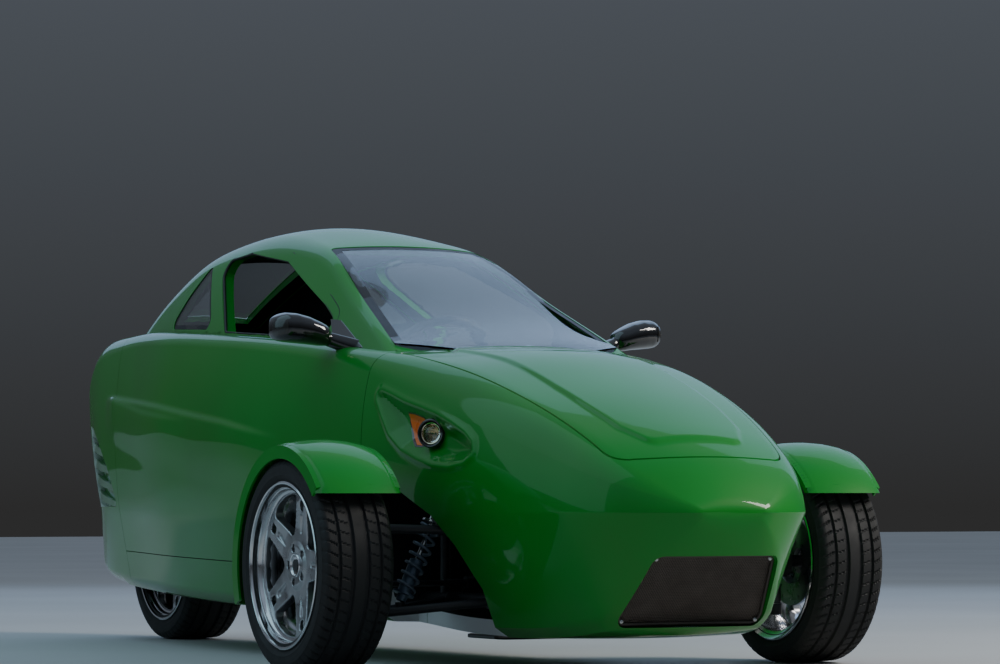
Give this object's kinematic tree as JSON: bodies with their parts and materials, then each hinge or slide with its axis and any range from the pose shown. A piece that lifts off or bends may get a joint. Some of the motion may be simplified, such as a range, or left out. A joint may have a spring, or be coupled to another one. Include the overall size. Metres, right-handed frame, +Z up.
{
  "type": "three wheeled car",
  "caption": "Compact enclosed car with two steered front wheels under cycle fenders, one wheel in a tapering tail, tandem seats and a side door.",
  "frame": {"origin": "on the ground, under the centre of the car's bounding box", "axes": "+Z up, nose towards -Y, the car's left side towards +X"},
  "size_m": [1.7, 4.05, 1.2891],
  "materials": {
    "body_paint": "gloss clear coat",
    "fender_paint": "gloss clear coat",
    "glass": "clear, faintly tinted",
    "grille_mesh": "matt",
    "lamp_bowl": "gloss",
    "amber_lens": "gloss",
    "red_lens": "gloss",
    "louvre": "satin",
    "mirror_shell": "gloss",
    "black_plastic": "matt",
    "floor": "matt",
    "engine": "rough",
    "frame_steel": "satin black",
    "arm_steel": "satin black",
    "damper": "satin",
    "knuckle": "machined and cast",
    "alloy": "satin, polished lip",
    "tyre": "matt rubber",
    "seat_cloth": "woven",
    "dash": "grained",
    "wheel_rim": "stitched"
  },
  "bodies": {
    "root": {"nose_shell": "body_paint", "roof_frame": "body_paint", "side_left": "body_paint", "side_right": "body_paint", "lower_tub": "body_paint", "tail_shell": "body_paint", "windshield": "glass", "quarter_glasses": "glass", "grille": "grille_mesh", "headlamp_left": "lamp_bowl", "headlamp_right": "lamp_bowl", "indicators": "amber_lens", "tail_lamps": "red_lens", "tail_louvres": "louvre", "mirror_right": "mirror_shell", "under_pan": "black_plastic", "floor_tub": "floor", "engine_block": "engine", "front_frame": "frame_steel", "wishbones_left": "arm_steel", "wishbones_right": "arm_steel", "damper_left": "damper", "damper_right": "damper", "swing_arm": "frame_steel", "rear_spring": "damper", "seat_front": "seat_cloth", "seat_rear": "seat_cloth", "dashboard": "dash", "steering_wheel": "wheel_rim"},
    "hood_lid": {"hood": "body_paint"},
    "door": {"door_left": "body_paint", "mirror_left": "mirror_shell"},
    "hatch_lid": {"hatch": "body_paint", "hatch_glass": "glass"},
    "rack": {"tie_rods": "arm_steel"},
    "steer_left": {"knuckle_left": "knuckle", "fender_left": "fender_paint"},
    "steer_right": {"knuckle_right": "knuckle", "fender_right": "fender_paint"},
    "wheel_left": {"rim_left": "alloy", "tyre_left": "tyre"},
    "wheel_right": {"rim_right": "alloy", "tyre_right": "tyre"},
    "wheel_rear": {"rim_rear": "alloy", "tyre_rear": "tyre"}
  },
  "joints": [
    {"name": "steer_left_turn", "type": "hinge", "parent": "root", "child": "steer_left", "pos_m": [0.655, -1.125, 0.284], "axis": [0, 0, 1], "range_deg": [-30, 30]},
    {"name": "steer_right_turn", "type": "hinge", "parent": "root", "child": "steer_right", "pos_m": [-0.655, -1.125, 0.284], "axis": [0, 0, 1], "range_deg": [-30, 30]},
    {"name": "rack_slide", "type": "slide", "parent": "root", "child": "rack", "axis": [1, 0, 0], "range_m": [-0.053, 0.053]},
    {"name": "wheel_left_spin", "type": "hinge", "parent": "steer_left", "child": "wheel_left", "pos_m": [0.742, -1.125, 0.284], "axis": [1, 0, 0], "continuous": true},
    {"name": "wheel_right_spin", "type": "hinge", "parent": "steer_right", "child": "wheel_right", "pos_m": [-0.742, -1.125, 0.284], "axis": [1, 0, 0], "continuous": true},
    {"name": "wheel_rear_spin", "type": "hinge", "parent": "root", "child": "wheel_rear", "pos_m": [0, 1.579, 0.284], "axis": [1, 0, 0], "continuous": true},
    {"name": "hood_hinge", "type": "hinge", "parent": "root", "child": "hood_lid", "pos_m": [0, -1.853, 0.6], "axis": [1, 0, 0], "range_deg": [0, 50]},
    {"name": "door_hinge", "type": "hinge", "parent": "root", "child": "door", "pos_m": [0.486, -0.712, 0.6], "axis": [0, 0, -1], "range_deg": [0, 65]},
    {"name": "hatch_hinge", "type": "hinge", "parent": "root", "child": "hatch_lid", "pos_m": [0, 0.841, 1.265], "axis": [1, 0, 0], "range_deg": [0, 60]}
  ],
  "couplings": [
    {"joint": "steer_right_turn", "follows": "steer_left_turn", "ratio": 1},
    {"joint": "rack_slide", "follows": "steer_left_turn", "m_per_rad": -0.1}
  ]
}
